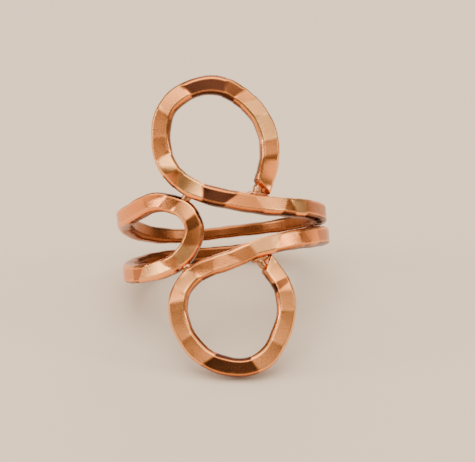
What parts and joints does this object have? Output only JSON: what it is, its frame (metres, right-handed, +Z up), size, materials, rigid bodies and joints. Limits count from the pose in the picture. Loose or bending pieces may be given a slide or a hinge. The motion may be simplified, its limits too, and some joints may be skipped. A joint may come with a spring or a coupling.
{
  "type": "copper wire finger ring",
  "caption": "Hammered copper wire finger ring with an upper loop, a lower loop and a small U-bend, soldered where the wire touches itself.",
  "frame": {"origin": "on the surface that the ring rests on, under the middle of its box", "axes": "+Z up from the surface, -Y towards the side with the loops, +X to the right seen from that side"},
  "size_m": [0.0206, 0.0254, 0.0242],
  "materials": {
    "copper": "hammered and polished, with a fine satin grain"
  },
  "bodies": {
    "root": {"wire_ring": "copper"}
  },
  "joints": []
}
